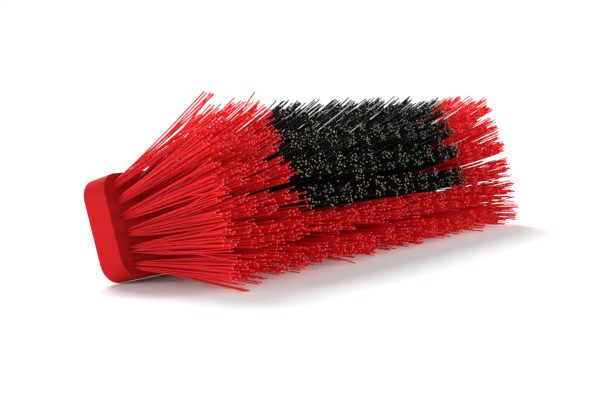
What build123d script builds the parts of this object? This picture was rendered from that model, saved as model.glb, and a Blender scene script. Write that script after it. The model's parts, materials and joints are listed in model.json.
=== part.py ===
"""Wheel brush head for a vehicle wash, lying as it rests on a flat surface.

A red plastic block carries six rows of nineteen filament tufts. Each tuft is folded over a flat
metal anchor in a blind hole. The rows fan out across the width, and the columns a little along
the length. The middle tufts of rows 1 to 4 are black and the others red. Four threaded inserts in
the back hold the head on its machine.

The head is modelled with its bristle face up: X along the block, Y across it towards row 1, and
Z out of the bristle face, which is Z = 0. It is then tipped over onto the edge of the block and
the tips of row 6. All sizes are in millimetres.
"""

import os
from math import atan2, cos, degrees, radians, sin

from build123d import *

# Block, whose length follows from the tuft grid
BLOCK_WIDTH = 70
BLOCK_THICKNESS = 19
CORNER_RADIUS = 14
EDGE_ROUND = 0.5

# Tuft grid
ROWS = 6
COLUMNS = 19
ROW_PITCH = 10.8
COLUMN_PITCH = 23.5
END_MARGIN = 12.5  # from the first column to the end of the block
BLOCK_LENGTH = (COLUMNS - 1) * COLUMN_PITCH + 2 * END_MARGIN
ROW_SPLAY = 6.6  # degrees between one row and the next
COLUMN_SPLAY = 0.55  # degrees between one column and the next
END_COLOURED = 4  # red columns at each end of the rows with a black middle
ROWS_WITH_BLACK = 4

# Tuft and its hole
FREE_LENGTH = 88
TIP_RADIUS = 10.2
ROOT_RADIUS = 2.9
HOLE_RADIUS = 3
HOLE_DEPTH = 13
FOLD_GAP = 0.3  # air under the fold, at the bottom of the hole

# Anchor, a flat strip that bites into both sides of its hole
ANCHOR_LENGTH = 7.2
ANCHOR_THICKNESS = 0.5
ANCHOR_HEIGHT = 2
ANCHOR_DEPTH = 10.6  # from the bristle face to the anchor's middle

# Threaded inserts, M8, in one line between tuft columns
INSERT_COLUMNS = (-7.5, -2.5, 2.5, 7.5)  # in column pitches from the middle
INSERT_RADIUS = 5.5
INSERT_LENGTH = 12.5
INSERT_BORE = 3.4
INSERT_MOUTH = 4.2
FLANGE_RADIUS = 7.5
FLANGE_THICKNESS = 1.2
GROOVE_DEPTH = 0.5
GROOVE_WIDTH = 1.2
POCKET_CLEARANCE = 0.5  # below the end of an insert


def row_angle(row):
    """Angle of a row's tufts from the bristle face's normal, in degrees, towards row 1."""
    return ((ROWS - 1) / 2 - row) * ROW_SPLAY


def tuft_place(column, row):
    """Place of a tuft: its root's middle on the bristle face, Z along its filaments."""
    columns_out = column - (COLUMNS - 1) / 2
    root = Pos(columns_out * COLUMN_PITCH, ((ROWS - 1) / 2 - row) * ROW_PITCH, 0)
    return root * Rot(X=-row_angle(row)) * Rot(Y=columns_out * COLUMN_SPLAY)


def turned(points):
    """Solid turned about Z from an outline of (radius, height) points."""
    face = make_face(Polyline(*[(r, 0, z) for r, z in points], close=True))
    return revolve(face, Axis.Z)


def make_anchor():
    """Flat strip across a tuft hole, with its length along X."""
    return Pos(0, 0, -ANCHOR_DEPTH) * Box(ANCHOR_LENGTH, ANCHOR_THICKNESS, ANCHOR_HEIGHT)


def make_tuft():
    """Outer shape of a tuft: a plug in the hole, then a cone that opens towards the tips."""
    bottom = FOLD_GAP - HOLE_DEPTH
    outline = [
        (0, bottom),
        (ROOT_RADIUS, bottom),
        (ROOT_RADIUS, 0),
        (TIP_RADIUS, FREE_LENGTH),
        (0, FREE_LENGTH),
    ]
    return turned(outline) - make_anchor()


def make_tuft_hole():
    """Blind hole for a tuft, run past the bristle face so that a splayed hole breaks through."""
    above = 2 * HOLE_RADIUS
    hole = Pos(0, 0, -HOLE_DEPTH) * Cylinder(
        HOLE_RADIUS, HOLE_DEPTH + above, align=(Align.CENTER, Align.CENTER, Align.MIN)
    )
    return hole + make_anchor()


def insert_places():
    """Places of the inserts: the middle of each mouth on the back face, Z into the block."""
    return [Pos(n * COLUMN_PITCH, 0, -BLOCK_THICKNESS) for n in INSERT_COLUMNS]


def make_insert():
    """Flanged insert with two grip grooves and a tapped hole right through it."""
    ridge = (INSERT_LENGTH - FLANGE_THICKNESS - 2 * GROOVE_WIDTH) / 3
    lead = INSERT_MOUTH - INSERT_BORE
    outline = [(INSERT_MOUTH, 0), (FLANGE_RADIUS, 0), (FLANGE_RADIUS, FLANGE_THICKNESS)]
    height = FLANGE_THICKNESS
    for _ in range(2):
        outline.append((INSERT_RADIUS, height))
        outline.append((INSERT_RADIUS, height + ridge))
        outline.append((INSERT_RADIUS - GROOVE_DEPTH, height + ridge))
        outline.append((INSERT_RADIUS - GROOVE_DEPTH, height + ridge + GROOVE_WIDTH))
        height += ridge + GROOVE_WIDTH
    outline.append((INSERT_RADIUS, height))
    outline.append((INSERT_RADIUS, INSERT_LENGTH))
    outline.append((INSERT_BORE, INSERT_LENGTH))
    outline.append((INSERT_BORE, lead))
    return turned(outline)


def make_insert_pocket():
    """Blind pocket for an insert, with a recess for its flange."""
    outline = [
        (0, -1),
        (FLANGE_RADIUS, -1),
        (FLANGE_RADIUS, FLANGE_THICKNESS),
        (INSERT_RADIUS, FLANGE_THICKNESS),
        (INSERT_RADIUS, INSERT_LENGTH + POCKET_CLEARANCE),
        (0, INSERT_LENGTH + POCKET_CLEARANCE),
    ]
    return turned(outline)


def make_block():
    """Block with rounded corners, drilled for the tufts and from behind for the inserts."""
    slab = extrude(RectangleRounded(BLOCK_LENGTH, BLOCK_WIDTH, CORNER_RADIUS), -BLOCK_THICKNESS)
    rims = slab.edges().group_by(Axis.Z)
    slab = fillet(rims[0] + rims[-1], EDGE_ROUND)
    hole, pocket = make_tuft_hole(), make_insert_pocket()
    cuts = [tuft_place(c, r) * hole for c in range(COLUMNS) for r in range(ROWS)]
    cuts += [place * pocket for place in insert_places()]
    return slab - cuts


def resting_place():
    """Placement that tips the head onto the block's back edge and the tips of row 6."""
    angle = radians(-row_angle(ROWS - 1))
    root = (ROWS - 1) / 2 * ROW_PITCH
    tip_y = root + FREE_LENGTH * sin(angle) + TIP_RADIUS * cos(angle)
    tip_z = FREE_LENGTH * cos(angle) - TIP_RADIUS * sin(angle)
    rise = degrees(atan2(tip_y - BLOCK_WIDTH / 2, tip_z + BLOCK_THICKNESS))
    return Rot(X=90 - rise)


def make_tufts():
    """Tufts by node: one node for each stretch of a row that has one colour."""
    tuft = make_tuft()
    nodes = {}
    for row in range(ROWS):
        for column in range(COLUMNS):
            name = f"tufts_row_{row + 1}"
            if row >= ROWS_WITH_BLACK:
                name += "_red"
            elif column < END_COLOURED:
                name += "_red_near"
            elif column < COLUMNS - END_COLOURED:
                name += "_black"
            else:
                name += "_red_far"
            nodes.setdefault(name, []).append(tuft_place(column, row) * tuft)
    return nodes


def make_anchors():
    """Anchors by node: one node for each row."""
    anchor = make_anchor()
    return {
        f"anchors_row_{row + 1}": [tuft_place(column, row) * anchor for column in range(COLUMNS)]
        for row in range(ROWS)
    }


def make_nodes():
    """Every node of the head, lying at rest with the middle of its footprint at the origin."""
    insert = make_insert()
    nodes = {"brush_block": [make_block()]}
    nodes["threaded_inserts"] = [place * insert for place in insert_places()]
    nodes.update(make_anchors())
    nodes.update(make_tufts())
    tipped = {name: resting_place() * Compound(shapes) for name, shapes in nodes.items()}
    box = Compound(list(tipped.values())).bounding_box()
    centre = Pos(-box.center().X, -box.center().Y, -box.min.Z)
    return {name: centre * shape for name, shape in tipped.items()}


os.makedirs("parts", exist_ok=True)
for node, shape in make_nodes().items():
    export_step(shape, f"parts/{node}.step")
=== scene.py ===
"""Wheel brush head lying on a pale floor, with every filament modelled.

The block and the anchors are the CAD nodes with plastic and steel finishes. Each CAD tuft node
is replaced by its strands: a strand is one filament folded under its anchor, with two free ends.
The threaded inserts are replaced by turned ones with a cut thread. Everything is in metres.
"""

import json
from math import cos, pi, radians, sin
from random import Random

import bmesh
import bpy
import numpy as np
from mathutils import Matrix, Vector


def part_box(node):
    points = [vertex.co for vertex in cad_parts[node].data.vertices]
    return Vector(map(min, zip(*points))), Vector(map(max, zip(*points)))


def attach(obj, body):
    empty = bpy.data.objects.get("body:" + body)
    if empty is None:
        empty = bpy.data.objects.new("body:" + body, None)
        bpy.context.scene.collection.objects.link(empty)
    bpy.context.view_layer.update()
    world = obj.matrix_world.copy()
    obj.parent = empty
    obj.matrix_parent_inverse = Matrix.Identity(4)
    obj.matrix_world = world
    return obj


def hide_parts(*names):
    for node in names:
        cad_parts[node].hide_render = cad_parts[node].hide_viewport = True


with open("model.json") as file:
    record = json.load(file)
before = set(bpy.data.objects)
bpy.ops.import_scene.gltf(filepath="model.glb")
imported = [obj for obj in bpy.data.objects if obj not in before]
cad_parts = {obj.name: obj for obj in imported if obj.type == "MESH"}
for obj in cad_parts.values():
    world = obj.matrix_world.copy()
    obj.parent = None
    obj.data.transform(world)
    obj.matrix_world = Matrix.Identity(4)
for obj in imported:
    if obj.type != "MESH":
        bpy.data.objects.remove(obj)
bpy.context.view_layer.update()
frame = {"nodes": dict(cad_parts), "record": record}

MM = 0.001

# Block and tuft grid, as drilled
THICKNESS = 19 * MM
ROWS = 6
COLUMNS = 19
ROW_PITCH = 10.8 * MM
COLUMN_PITCH = 23.5 * MM
ROW_SPLAY = radians(6.6)
COLUMN_SPLAY = radians(0.55)
END_COLOURED = 4
ROWS_WITH_BLACK = 4
HOLE_RADIUS = 3 * MM

# Filaments
FILAMENT = 0.85 * MM
SIDES = 6
FREE_LENGTH = 87.3 * MM
LONGEST = 89.5 * MM
TIP_SPREAD = 9.8 * MM
TIP_LIMIT = 12.2 * MM  # furthest that a loose tip stands from the middle of its tuft
CUT_BAND = 0.5 * MM  # how far the paler cut end runs down a filament
CUT_SWELL = 1.12  # the cutter leaves the end a little wider
TIP_JITTER = 0.8 * MM
LOOSE_SHARE = 0.06  # of the ends, how many stand out of their tuft
LOOSE_SPREAD = 4.5 * MM
BOW = 0.6 * MM  # how far a filament bends between its root and its tip
LAYER_STEP = 0.2 * MM  # between folds; less than a filament, so the hidden folds overlap

# Tips, in the frame of their tuft, of the long filaments that stand out of the near-end tufts
STRAY_TIPS = {
    (0, 0): ((12, 11.7), (13.5, 10.6), (17, 9.8), (19, 9)),
    (0, 2): ((-6.5, 9.5), (-3, -11.5)),
    (0, 3): ((-3.5, 13.5), (-2, 14.5), (-0.5, 12.6)),
    (0, 4): ((-2.5, -12),),
    (0, 5): ((2.5, -10.4), (5.5, -9.8)),
    (1, 0): ((-2.3, 11), (-4.6, 11.6)),
    (3, 0): ((-4.5, 11.8),),
    (3, 3): ((13, 3), (14.5, -2), (12, -6)),
    (3, 2): ((12.5, -4),),
}
STRAY_LENGTH = 90.4 * MM
STRAY_SWELL = 1.2  # strays are drawn a little thicker than the rest, so that they show
STRAY_FROM = 11.5 * MM  # a tip this far out belongs to a stray
STRAY_SAG = 0.22  # how far a stray hangs back towards its tuft halfway, of its distance from it
LIFTED_ROWS = {4: 2.4, 5: 1.6}  # mm at the tips, by which the lower rows are bent up
PUSHED_TUFTS = {(0, 0): (6, -5.5), (0, 1): (3.5, 0.5), (1, 0): (-2, -1.5)}  # mm at the tips

# Anchor in its hole
ANCHOR_HALF_THICKNESS = 0.25 * MM
ANCHOR_DEPTH = 10.6 * MM
ANCHOR_BOTTOM = 11.6 * MM

# M8 insert
INSERT_COLUMNS = (-7.5, -2.5, 2.5, 7.5)
INSERT_LENGTH = 12.5 * MM
INSERT_RADIUS = 5.5 * MM
INSERT_GROOVES = ((4.17, 5.37), (8.33, 9.53))  # in mm, from and to, along the insert
GROOVE_DEPTH = 0.5 * MM
FLANGE_RADIUS = 7.5 * MM
FLANGE_THICKNESS = 1.2 * MM
THREAD_PITCH = 1.25 * MM
THREAD_TURNS = 9
THREAD_MINOR = 3.4 * MM
THREAD_MAJOR = 4 * MM
STEPS_IN_TURN = 48

# Light
SURROUND = 1.5  # brightness of the lit walls
SURROUND_LEVELS = (  # share of it at heights from the horizon, 0, to overhead, 1
    (0, 0.69),
    (0.11, 0.69),
    (0.2, 1),
    (0.4, 1),
    (0.65, 0.08),
)
LAMP_DIRECTION = (0.45, 0.62, 0.62)
LAMP_SPREAD = radians(34)
LAMP_POWER = 4
END_LAMP_PLACE = (-1.15, 0.75, 0.15)
END_LAMP_SIZE = 0.5
END_LAMP_POWER = 8.2
FILL_PLACE = (0.7, -1.1, 0.28)
FILL_SIZE = 0.5
FILL_POWER = 17

# Camera, from the middle of the bristle face at the block's near end
LENS = 72
SENSOR = 36
CAMERA_BEYOND_END = 582.3 * MM
CAMERA_IN_FRONT = 511.7 * MM
CAMERA_HEIGHT = 103.8 * MM
CAMERA_YAW = radians(57.62)
CAMERA_PITCH = radians(3.91)
CAMERA_ROLL = radians(2.13)


# ---------------------------------------------------------------- finishes


class Value:
    """A shader node's output. Sums and products of values add Math nodes."""

    def __init__(self, nodes, socket):
        self.nodes = nodes
        self.socket = socket

    def math(self, operation, first, second):
        return self.nodes.add("ShaderNodeMath", {"operation": operation}, {0: first, 1: second})

    def __add__(self, other):
        return self.math("ADD", self, other)

    def __mul__(self, other):
        return self.math("MULTIPLY", self, other)

    __radd__ = __add__
    __rmul__ = __mul__


class Nodes:
    """The nodes of a material or of the surround."""

    def __init__(self, owner):
        owner.use_nodes = True
        self.tree = owner.node_tree

    def put(self, socket, value):
        if isinstance(value, Value):
            self.tree.links.new(value.socket, socket)
        else:
            socket.default_value = value

    def add(self, kind, settings=None, inputs=None, output=0):
        """Adds a node: its settings first, then its sockets' values or links."""
        node = self.tree.nodes.new(kind)
        for name, value in (settings or {}).items():
            if name == "stops":
                ramp = node.color_ramp.elements
                while len(ramp) < len(value):
                    ramp.new(0.5)
                for stop, (position, level) in zip(ramp, value):
                    stop.position = position
                    stop.color = (level, level, level, 1)
            else:
                setattr(node, name, value)
        for name, value in (inputs or {}).items():
            self.put(node.inputs[name], value)
        return Value(self, node.outputs[output])

    def mix(self, share, first, second):
        """Colour between two colours."""
        return self.add(
            "ShaderNodeMix", {"data_type": "RGBA"}, {0: share, 6: first, 7: second}, output=2
        )


class Finish(Nodes):
    """A material in the making: one Principled shader and the nodes that vary it."""

    def __init__(self, name, **fixed):
        self.material = bpy.data.materials.new(name)
        super().__init__(self.material)
        self.shader = self.tree.nodes["Principled BSDF"]
        for socket, value in fixed.items():
            self.set(socket.replace("_", " ").title().replace("Ior", "IOR"), value)

    def set(self, socket, value):
        """Sets or links one of the Principled shader's sockets."""
        self.put(self.shader.inputs[socket], value)

    def attribute(self, name):
        return self.add("ShaderNodeAttribute", {"attribute_name": name}, output="Fac")

    def object_place(self):
        return self.add("ShaderNodeTexCoord", output="Object")

    def noise(self, place, scale, detail=2, roughness=0.5):
        return self.add(
            "ShaderNodeTexNoise",
            inputs={"Vector": place, "Scale": scale, "Detail": detail, "Roughness": roughness},
        )

    def stretched(self, place, scale):
        """The place scaled by a vector, for marks that run one way."""
        return self.add("ShaderNodeMapping", inputs={"Vector": place, "Scale": scale})

    def bump(self, height, strength, distance):
        bump = self.add(
            "ShaderNodeBump", inputs={"Height": height, "Strength": strength, "Distance": distance}
        )
        self.set("Normal", bump)


def grey(level):
    return (level, level, level, 1)


def block_finish():
    """Dull red plastic, sawn and lightly milled, with a few paler scuffs."""
    finish = Finish("red block plastic", specular_ior_level=0.02)
    place = finish.object_place()
    mottle = finish.noise(place, 60, 3)
    grain = finish.noise(place, 1400, 3)
    tool_marks = finish.noise(finish.stretched(place, (900, 40, 40)), 1, 2)
    scuffs = finish.add(
        "ShaderNodeValToRGB",
        {"stops": [(0.66, 0), (0.74, 1)]},
        {"Fac": finish.noise(finish.stretched(place, (60, 260, 260)), 1, 4)},
    )
    deep, pale, scuffed = (0.43, 0.009, 0.01, 1), (0.49, 0.012, 0.013, 1), (0.56, 0.028, 0.028, 1)
    colour = finish.mix(mottle, deep, pale)
    finish.set("Base Color", finish.mix(scuffs * 0.25, colour, scuffed))
    finish.set("Roughness", mottle * 0.12 + grain * 0.1 + 0.6)
    finish.bump(grain * 0.6 + tool_marks * 0.5, 0.25, 0.15 * MM)
    return finish.material


def filament_finish(name, dull, bright, cut):
    """Drawn plastic filament: a tone for each strand, painted shade at the roots and painted light
    out at the tips, and paler cut ends.
    """
    finish = Finish(name, specular_ior_level=0.04)
    shade = finish.attribute("shade")
    cut_end = finish.attribute("cut")
    # painted light and shade: darker towards the fold, lighter towards the tips, mixed with each
    # strand's own tone
    colour = finish.mix(shade * 0.4 + finish.attribute("outwards") * 0.6, dull, bright)
    finish.set("Base Color", finish.mix(cut_end, colour, cut))
    finish.set("Roughness", shade * 0.12 + cut_end * 0.3 + 0.38)
    return finish.material


def brass_finish():
    """Turned brass with fine tool marks round its axis and a dull film."""
    finish = Finish("turned brass", metallic=1)
    place = finish.object_place()
    film = finish.noise(place, 700, 3)
    finish.set("Base Color", finish.mix(film, (0.78, 0.55, 0.22, 1), (0.55, 0.36, 0.13, 1)))
    finish.set("Roughness", film * 0.25 + 0.22)
    finish.bump(finish.noise(finish.stretched(place, (300, 2500, 2500)), 1, 2), 0.2, 0.05 * MM)
    return finish.material


def anchor_finish():
    """Flat rolled wire, brushed along its length."""
    finish = Finish("rolled anchor wire", metallic=1)
    rolled = finish.noise(finish.stretched(finish.object_place(), (120, 4000, 4000)), 1, 2)
    finish.set("Base Color", finish.mix(rolled, grey(0.42), grey(0.62)))
    finish.set("Roughness", rolled * 0.3 + 0.25)
    return finish.material


# ---------------------------------------------------------------- where things are


def brush_place():
    """The brush's own frame: X along the block, Y towards row 1, Z out of the bristle face."""
    back = next(m for m in frame["record"]["mounts"] if m["name"] == "back_face")
    outwards = -Vector(back["axis"])
    low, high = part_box("brush_block")
    middle = (low + high) / 2 + outwards * THICKNESS / 2
    along = Vector((1, 0, 0))
    turn = Matrix((along, outwards.cross(along), outwards)).transposed()
    return Matrix.Translation(middle) @ turn.to_4x4()


BRUSH = brush_place()


def tuft_place(column, row):
    """Place of a tuft: its root on the bristle face, Z along its filaments."""
    columns_out = column - (COLUMNS - 1) / 2
    rows_up = (ROWS - 1) / 2 - row
    root = Matrix.Translation((columns_out * COLUMN_PITCH, rows_up * ROW_PITCH, 0))
    lean = Matrix.Rotation(-rows_up * ROW_SPLAY, 4, "X")
    fan = Matrix.Rotation(columns_out * COLUMN_SPLAY, 4, "Y")
    return BRUSH @ root @ lean @ fan


# ---------------------------------------------------------------- filaments

RINGS = 13


def strand_template():
    """A closed tube of radius 1 along Z, with a ring of vertices at each whole height."""
    tube = bmesh.new()
    bmesh.ops.create_circle(tube, cap_ends=True, radius=1, segments=SIDES)
    end = tube.faces[:]
    for step in range(RINGS - 1):
        grown = bmesh.ops.extrude_face_region(tube, geom=end)["geom"]
        if step > 0:  # the first face stays, to close the tube
            bmesh.ops.delete(tube, geom=end, context="FACES_ONLY")
        end = [item for item in grown if isinstance(item, bmesh.types.BMFace)]
        corners = [item for item in grown if isinstance(item, bmesh.types.BMVert)]
        bmesh.ops.translate(tube, vec=(0, 0, 1), verts=corners)
    bmesh.ops.recalc_face_normals(tube, faces=tube.faces)
    for face in tube.faces:
        face.smooth = len(face.verts) == 4
    for edge in tube.edges:
        edge.smooth = all(face.smooth for face in edge.link_faces)
    mesh = bpy.data.meshes.new("strand")
    tube.to_mesh(mesh)
    tube.free()
    return mesh


def strands_in_hole():
    """Where the strands of half a tuft lie in its hole: (along the anchor, away from it, layer)."""
    reach = HOLE_RADIUS - FILAMENT / 2
    places = []
    for layer in range(3):
        away = ANCHOR_HALF_THICKNESS + FILAMENT * (0.5 + 0.85 * layer)
        half_row = (reach**2 - away**2) ** 0.5
        gaps = int(2 * half_row / FILAMENT + 0.2)
        places += [(half_row * (2 * n / gaps - 1), away, layer) for n in range(gaps + 1)]
    return places


SPOTS = strands_in_hole()
STRAND = strand_template()


def make_clumps(chance):
    """Points that the tips of one tuft are drawn to, so that they stand in small groups."""
    turns = [chance.uniform(0, 2 * pi) for _ in range(chance.randint(3, 5))]
    return [
        Vector((cos(turn), sin(turn), 0)) * chance.uniform(0.2, 0.85) * TIP_SPREAD for turn in turns
    ]


def tip_of(chance, spot, side, spread, clumps):
    """Where one free end of a strand has its tip, in its tuft's own frame."""
    along, away, _ = spot
    out = TIP_SPREAD * spread
    last = HOLE_RADIUS - FILAMENT / 2
    rise = (away - ANCHOR_HALF_THICKNESS) / (last - 2 * ANCHOR_HALF_THICKNESS)
    tip = Vector((along / last * out, side * rise * out, 0))
    tip += Vector((chance.gauss(0, TIP_JITTER), chance.gauss(0, TIP_JITTER), 0))
    nearest = min(clumps, key=lambda clump: (clump - tip).length)
    tip = tip.lerp(nearest, chance.uniform(0.1, 0.5))
    if chance.random() < LOOSE_SHARE:
        tip += Vector((chance.gauss(0, LOOSE_SPREAD), chance.gauss(0, LOOSE_SPREAD), 0))
    tip *= min(1, TIP_LIMIT / tip.length)
    tip.z = min(FREE_LENGTH + chance.gauss(0, 1.1) * MM, LONGEST)
    tip.z -= (tip.x**2 + tip.y**2) / (2 * FREE_LENGTH)
    return tip


def free_end(chance, spot, side, tip):
    """Points of a free end from beside the anchor to its tip, and a little bend between."""
    along, away, _ = spot
    aside = Vector((tip.x, tip.y, 0))
    root = Vector((along, side * away, 0))
    bow = Vector((chance.gauss(0, BOW), chance.gauss(0, BOW), 0))
    if aside.length > STRAY_FROM:
        bow -= aside * STRAY_SAG
    run = tip - root
    return [
        root - Vector((0, 0, ANCHOR_DEPTH)),
        root,
        root + run * 0.33 + bow,
        root + run * 0.67 + bow,
        root + run * (1 - CUT_BAND / run.length),
        tip,
    ]


def strand_route(chance, spot, tips):
    """A whole strand, tip to tip: down into the hole, round under the anchor and out again."""
    along, _, layer = spot
    fold = Vector((along, 0, -ANCHOR_BOTTOM - FILAMENT / 2 - LAYER_STEP * layer))
    upper, lower = (free_end(chance, spot, side, tip) for side, tip in zip((1, -1), tips))
    return upper[::-1] + [fold] + lower


def bend_strands(mesh, routes, thickness):
    """Lays each tube of the mesh along its own route. Returns each vertex's ring."""
    straight = np.empty(len(mesh.vertices) * 3)
    mesh.vertices.foreach_get("co", straight)
    straight = straight.reshape(len(routes), -1, 3)[0]
    ring = np.rint(straight[:, 2]).astype(int)
    points = np.array(routes)
    tangent = np.gradient(points, axis=1)
    tangent /= np.linalg.norm(tangent, axis=2, keepdims=True)
    across = np.array(BRUSH.to_3x3().col[0]) + 0 * tangent
    across -= (across * tangent).sum(axis=2, keepdims=True) * tangent
    across /= np.linalg.norm(across, axis=2, keepdims=True)
    other = np.cross(tangent, across)
    radius = np.array(thickness)[:, None, None] / 2
    x, y = straight[:, 0, None], straight[:, 1, None]
    radius = radius * np.where((ring == 0) | (ring == RINGS - 1), CUT_SWELL, 1)[None, :, None]
    bent = points[:, ring] + radius * (across[:, ring] * x + other[:, ring] * y)
    mesh.vertices.foreach_set("co", bent.reshape(-1))
    return ring


def add_attribute(mesh, name, values):
    mesh.attributes.new(name, "FLOAT", "POINT").data.foreach_set("value", values)


def add_piece(name, mesh, material, node):
    """Puts a new piece in the scene in place of a CAD node."""
    mesh.materials.append(material)
    piece = bpy.data.objects.new(name, mesh)
    bpy.context.scene.collection.objects.link(piece)
    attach(piece, "root")
    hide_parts(node)


def is_black(column, row):
    return row < ROWS_WITH_BLACK and END_COLOURED <= column < COLUMNS - END_COLOURED


def tuft_strands(column, row):
    """Route, shade, thickness and the paleness of both cut ends, of each strand of a tuft."""
    chance = Random(1000 * row + column)
    place = tuft_place(column, row)
    spread = chance.uniform(0.92, 1.12) * (0.93 if is_black(column, row) else 1)
    pushed_x, pushed_y = PUSHED_TUFTS.get((column, row), (0, LIFTED_ROWS.get(row, 0)))
    lean = Vector((chance.gauss(pushed_x, 0.8) * MM, chance.gauss(pushed_y, 0.8) * MM, 0))
    clumps = make_clumps(chance)
    tuft_shade = chance.gauss(0.5, 0.1)
    strays = [Vector((x * MM, y * MM, STRAY_LENGTH)) for x, y in STRAY_TIPS.get((column, row), ())]
    strands = []
    for spot in SPOTS:
        tips = [tip_of(chance, spot, side, spread, clumps) + lean for side in (1, -1)]
        swell = chance.uniform(0.94, 1.04)
        if strays and abs(spot[0]) < 1.5 * MM:
            stray = strays.pop()
            tips[0 if stray.y > 0 else 1] = stray
            swell = STRAY_SWELL
        route = [place @ point for point in strand_route(chance, spot, tips)]
        for point in route:
            point.z = max(point.z, FILAMENT * 0.68)  # strands lie on the floor, not in it
        shade = min(max(chance.gauss(tuft_shade, 0.18), 0), 1)
        ends = [chance.choice((0.25, 0.5, 1, 1)) for _ in range(2)]
        strands.append((route, shade, FILAMENT * swell, ends))
    return strands


def make_filaments(name, node, tufts, material):
    """One piece: all the strands of the tufts that a CAD node stands for."""
    strands = [strand for column, row in tufts for strand in tuft_strands(column, row)]
    routes, shades, thickness, ends = zip(*strands)
    bundle = bmesh.new()
    for _ in strands:
        bundle.from_mesh(STRAND)
    mesh = bpy.data.meshes.new(name)
    bundle.to_mesh(mesh)
    bundle.free()
    ring = bend_strands(mesh, routes, thickness)
    # mask for painted shade and light along each strand: 0 at the fold, 1 at both tips
    from_fold = np.abs(ring / (RINGS - 1) - 0.5) * 2
    ends = np.array(ends)
    cut = ends[:, :1] * (ring == 0) + ends[:, 1:] * (ring == RINGS - 1)
    add_attribute(mesh, "cut", cut.ravel())
    add_attribute(mesh, "shade", np.repeat(shades, len(ring)))
    add_attribute(mesh, "outwards", np.tile(from_fold, len(strands)))
    add_piece(name, mesh, material, node)


def make_tufts():
    """Every tuft, grouped into the same stretches of colour as the CAD nodes."""
    # each finish runs from its dull colour, a dark strand in painted shade at its root, to its
    # bright one, a light strand in painted light at its tip
    red = filament_finish(
        "red filament", (0.36, 0.009, 0.012, 1), (0.95, 0.022, 0.028, 1), (0.95, 0.07, 0.08, 1)
    )
    black = filament_finish(
        "black filament", (0.006, 0.006, 0.005, 1), (0.016, 0.015, 0.012, 1), (0.28, 0.26, 0.19, 1)
    )
    first_far = COLUMNS - END_COLOURED
    for row in range(ROWS):
        stretches = [("red", range(COLUMNS))]
        if row < ROWS_WITH_BLACK:
            stretches = [
                ("red_near", range(END_COLOURED)),
                ("black", range(END_COLOURED, first_far)),
                ("red_far", range(first_far, COLUMNS)),
            ]
        for stretch, columns in stretches:
            material = black if stretch == "black" else red
            make_filaments(
                f"filaments_row_{row + 1}_{stretch}",
                f"tufts_row_{row + 1}_{stretch}",
                [(column, row) for column in columns],
                material,
            )


# ---------------------------------------------------------------- block, anchors and inserts


def paint_cad_nodes():
    """Gives the block and the anchors their finishes."""
    plastic, wire = block_finish(), anchor_finish()
    for name, node in frame["nodes"].items():
        if name == "brush_block" or name.startswith("anchors"):
            node.data.materials.clear()
            node.data.materials.append(plastic if name == "brush_block" else wire)


def spin_ring(metal):
    """The body of an insert: a closed outline turned about Z, its mouth at the origin."""
    chamfer = 0.25 * MM
    outline = [
        (THREAD_MAJOR, 2 * chamfer),
        (THREAD_MAJOR + 2 * chamfer, 0),
        (FLANGE_RADIUS - chamfer, 0),
        (FLANGE_RADIUS, chamfer),
        (FLANGE_RADIUS, FLANGE_THICKNESS),
        (INSERT_RADIUS, FLANGE_THICKNESS),
    ]
    for low, high in INSERT_GROOVES:
        floor = INSERT_RADIUS - GROOVE_DEPTH
        outline += [(INSERT_RADIUS, low * MM), (floor, low * MM)]
        outline += [(floor, high * MM), (INSERT_RADIUS, high * MM)]
    outline += [(INSERT_RADIUS, INSERT_LENGTH), (THREAD_MAJOR, INSERT_LENGTH)]
    corners = [metal.verts.new((radius, 0, height)) for radius, height in outline]
    edges = [metal.edges.new(pair) for pair in zip(corners, corners[1:] + corners[:1])]
    bmesh.ops.spin(
        metal, geom=corners + edges, axis=(0, 0, 1), cent=(0, 0, 0), angle=2 * pi,
        steps=STEPS_IN_TURN, use_merge=True,
    )


def spin_thread(metal):
    """The ridge of the thread, a tapered bar wound up the bore, its foot just inside the wall."""
    start = 0.7 * MM
    foot, crest = THREAD_PITCH * 0.45, THREAD_PITCH * 0.1
    outline = [
        (THREAD_MAJOR + 0.05 * MM, start - foot),
        (THREAD_MAJOR + 0.05 * MM, start + foot),
        (THREAD_MINOR, start + crest),
        (THREAD_MINOR, start - crest),
    ]
    profile = metal.faces.new([metal.verts.new((radius, 0, height)) for radius, height in outline])
    bmesh.ops.spin(
        metal, geom=[profile, *profile.edges, *profile.verts], axis=(0, 0, 1), cent=(0, 0, 0),
        dvec=(0, 0, THREAD_PITCH / STEPS_IN_TURN), angle=2 * pi * THREAD_TURNS,
        steps=STEPS_IN_TURN * THREAD_TURNS,
    )


def make_inserts():
    """Four turned inserts, each with a flange, a grooved body and a cut thread."""
    metal = bmesh.new()
    for columns_out in INSERT_COLUMNS:
        spin_ring(metal)
        spin_thread(metal)
        mouth = Matrix.Translation((columns_out * COLUMN_PITCH, 0, -THICKNESS))
        made = [vertex for vertex in metal.verts if not vertex.tag]
        bmesh.ops.transform(metal, matrix=BRUSH @ mouth, verts=made)
        for vertex in made:
            vertex.tag = True
    bmesh.ops.recalc_face_normals(metal, faces=metal.faces)
    mesh = bpy.data.meshes.new("brass_inserts")
    metal.to_mesh(mesh)
    metal.free()
    mesh.shade_smooth()
    mesh.set_sharp_from_angle(angle=radians(30))
    add_piece("brass_inserts", mesh, brass_finish(), "threaded_inserts")


# ---------------------------------------------------------------- floor, light and camera


def make_floor():
    """Plain white floor."""
    sheet = bmesh.new()
    bmesh.ops.create_grid(sheet, x_segments=1, y_segments=1, size=20)
    mesh = bpy.data.meshes.new("floor")
    sheet.to_mesh(mesh)
    sheet.free()
    finish = Finish("white floor", base_color=grey(0.96), roughness=1, specular_ior_level=0)
    mesh.materials.append(finish.material)
    floor = bpy.data.objects.new("floor", mesh)
    bpy.context.scene.collection.objects.link(floor)


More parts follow.
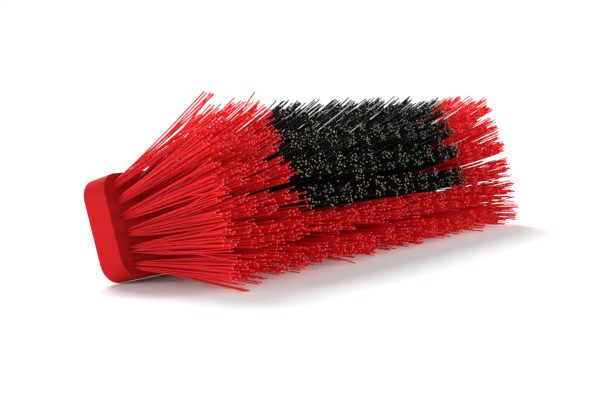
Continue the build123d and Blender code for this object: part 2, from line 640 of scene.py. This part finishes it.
def light_scene():
    """White walls, a dim ceiling, a broad lamp high up behind, and smaller ones at both ends."""
    world = bpy.data.worlds.new("white surround")
    surround = Nodes(world)
    direction = surround.add("ShaderNodeTexCoord", output="Generated")
    height = surround.add("ShaderNodeSeparateXYZ", inputs={"Vector": direction}, output="Z")
    glow = surround.tree.nodes["Background"].inputs
    level = surround.add("ShaderNodeValToRGB", {"stops": SURROUND_LEVELS}, {"Fac": height})
    surround.put(glow["Color"], level)
    surround.put(glow["Strength"], SURROUND)
    bpy.context.scene.world = world
    broad = add_lamp("broad lamp", "SUN", LAMP_DIRECTION, LAMP_POWER)
    broad.angle = LAMP_SPREAD
    low = add_lamp("end lamp", "AREA", END_LAMP_PLACE, END_LAMP_POWER)
    low.size = END_LAMP_SIZE
    fill = add_lamp("fill lamp", "AREA", FILL_PLACE, FILL_POWER)
    fill.size = FILL_SIZE


def add_lamp(name, kind, place, power):
    """A lamp that faces the middle of the floor."""
    lamp = bpy.data.lights.new(name, kind)
    lamp.energy = power
    light = bpy.data.objects.new(name, lamp)
    light.location = place
    light.rotation_euler = Vector(place).to_track_quat("Z", "Y").to_euler()
    bpy.context.scene.collection.objects.link(light)
    return lamp


def add_camera():
    """Camera near the floor, beyond the near end and in front of the tips."""
    near_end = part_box("brush_block")[0].x
    camera = bpy.data.objects.new("camera", bpy.data.cameras.new("camera"))
    camera.data.lens = LENS
    camera.data.sensor_width = SENSOR
    camera.location = (
        near_end - CAMERA_BEYOND_END,
        BRUSH.translation.y - CAMERA_IN_FRONT,
        CAMERA_HEIGHT,
    )
    turn = Matrix.Rotation(-CAMERA_YAW, 4, "Z") @ Matrix.Rotation(pi / 2 - CAMERA_PITCH, 4, "X")
    camera.rotation_euler = (turn @ Matrix.Rotation(-CAMERA_ROLL, 4, "Z")).to_euler()
    bpy.context.scene.collection.objects.link(camera)
    bpy.context.scene.camera = camera
    bpy.context.scene.view_settings.view_transform = "Standard"


add_camera()
make_floor()
light_scene()
paint_cad_nodes()
make_inserts()
make_tufts()
